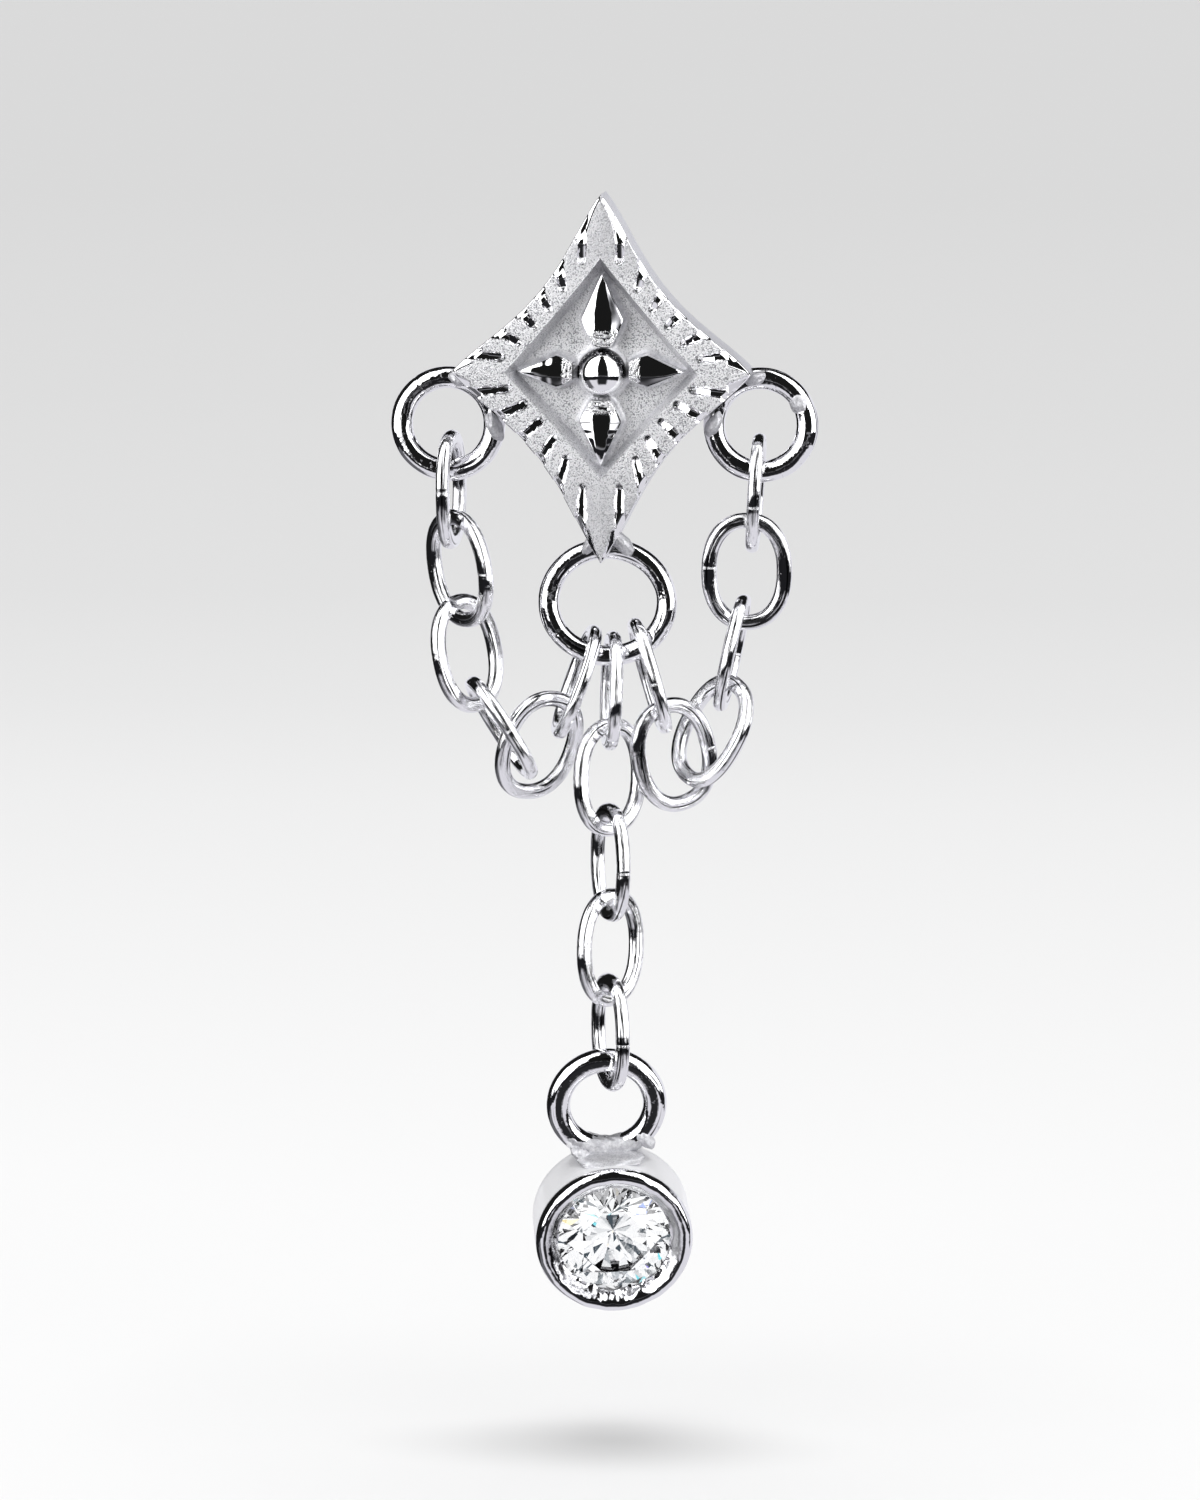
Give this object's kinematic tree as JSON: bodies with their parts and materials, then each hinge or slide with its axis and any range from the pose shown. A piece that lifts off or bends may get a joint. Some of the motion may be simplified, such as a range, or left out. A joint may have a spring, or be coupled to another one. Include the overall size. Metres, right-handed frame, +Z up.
{
  "type": "flat back stud earring",
  "caption": "Flat back stud earring: four-point star with relief, soldered rings, chain swags and a bezel-set drop.",
  "frame": {"origin": "on the post's axis at the star's flat back, where the front of the ear meets the star", "axes": "+Z up along the star's long arm, -Y is the way the star faces, +Y along the post to the flat disc"},
  "size_m": [0.0086, 0.0065, 0.0228],
  "materials": {
    "cast_silver": "bright cast silver, grainy in the sunk parts",
    "polished_silver": "polished silver wire and sheet",
    "clear_stone": "clear faceted round brilliant"
  },
  "bodies": {
    "root": {"star_head": "cast_silver", "flat_back_post": "polished_silver", "link_left_1": "polished_silver", "link_left_2": "polished_silver", "link_left_3": "polished_silver", "link_left_4": "polished_silver", "link_left_5": "polished_silver", "link_right_1": "polished_silver", "link_right_2": "polished_silver", "link_right_3": "polished_silver", "link_right_4": "polished_silver", "link_right_5": "polished_silver", "link_centre_1": "polished_silver", "link_centre_2": "polished_silver", "link_centre_3": "polished_silver", "link_drop_1": "polished_silver", "link_drop_2": "polished_silver", "link_drop_3": "polished_silver", "link_drop_4": "polished_silver"},
    "drop": {"drop_setting": "polished_silver", "drop_stone": "clear_stone"}
  },
  "joints": [
    {"name": "drop_swing", "type": "hinge", "parent": "root", "child": "drop", "pos_m": [0.00014, -0.00029, -0.01446], "axis": [0.4226, -0.9063, 0], "range_deg": [-40, 40]}
  ]
}
